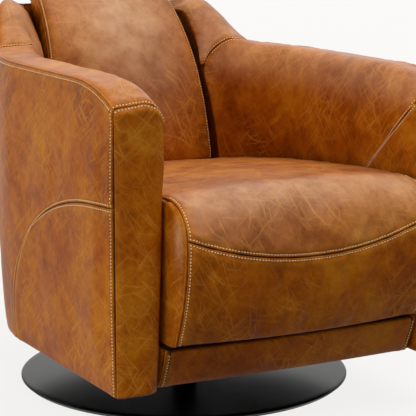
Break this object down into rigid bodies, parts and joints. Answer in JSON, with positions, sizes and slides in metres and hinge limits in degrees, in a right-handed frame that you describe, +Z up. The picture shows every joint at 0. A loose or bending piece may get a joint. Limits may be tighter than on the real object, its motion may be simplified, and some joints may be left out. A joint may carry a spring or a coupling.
{
  "type": "swivel armchair",
  "caption": "Tub-backed swivel armchair in sewn leather with rolled arms, raised wings, a rolled back pad and a fixed box seat, turning on a column over a flat round base disc.",
  "frame": {"origin": "on the floor, on the swivel axis, at the centre of the round underside of the base", "axes": "+Z up along the swivel axis, -Y towards the front of the seat, +X to the right as seen from the front"},
  "size_m": [0.724, 0.9677, 0.7817],
  "materials": {
    "leather": "pull-up leather, satin with marbling",
    "base": "gloss black powder coat",
    "bearing_steel": "ground",
    "fixings": "zinc plated",
    "bushes": "moulded nylon",
    "cage": "stamped",
    "felt": "pressed felt",
    "timber": "sawn hardwood",
    "webbing": "woven elastic webbing",
    "foam": "open-cell foam, stands in for the padding",
    "dust_cloth": "non-woven cloth"
  },
  "bodies": {
    "base": {"floor_felt": "felt", "base_disc": "base", "base_column": "base", "column_bolts": "fixings", "lower_bush": "bushes", "upper_bush": "bushes", "lower_race": "bearing_steel"},
    "bearing_cage": {"ball_cage": "cage", "bearing_balls": "bearing_steel"},
    "chair": {"upper_race": "bearing_steel", "spindle": "bearing_steel", "retaining_washer": "fixings", "retaining_clip": "fixings", "swivel_plate": "base", "plate_bolts": "fixings", "tee_nuts": "fixings", "cross_rail_front": "timber", "cross_rail_rear": "timber", "front_rail_lower": "timber", "front_rail_upper": "timber", "seat_rear_rail": "timber", "front_posts": "timber", "rear_posts": "timber", "arm_base_rails": "timber", "arm_middle_rails": "timber", "arm_top_rails": "timber", "back_hoop_lower": "timber", "back_hoop_middle": "timber", "back_hoop_upper": "timber", "back_uprights": "timber", "seat_webbing": "webbing", "back_webbing": "webbing", "seat_foam": "foam", "back_foam": "foam", "dust_cover": "dust_cloth", "seat_top_panel": "leather", "seat_front_panel": "leather", "seat_gusset_left": "leather", "seat_gusset_right": "leather", "front_rail_cover": "leather", "back_pad_panel": "leather", "back_gusset_left": "leather", "back_gusset_right": "leather", "arm_cover_left": "leather", "arm_cover_right": "leather", "arm_front_left": "leather", "arm_front_right": "leather", "side_panel_left": "leather", "side_panel_right": "leather", "lower_side_panel_left": "leather", "lower_side_panel_right": "leather", "wing_cover_left": "leather", "wing_cover_right": "leather", "tuck_strip_left": "leather", "tuck_strip_right": "leather", "back_outer_panel": "leather"}
  },
  "joints": [
    {"name": "swivel", "type": "hinge", "parent": "base", "child": "chair", "pos_m": [0, 0, 0.06], "axis": [0, 0, 1], "continuous": true},
    {"name": "cage_turn", "type": "hinge", "parent": "base", "child": "bearing_cage", "pos_m": [0, 0, 0.101], "axis": [0, 0, 1], "continuous": true}
  ],
  "couplings": [
    {"joint": "cage_turn", "follows": "swivel", "ratio": 0.5}
  ]
}
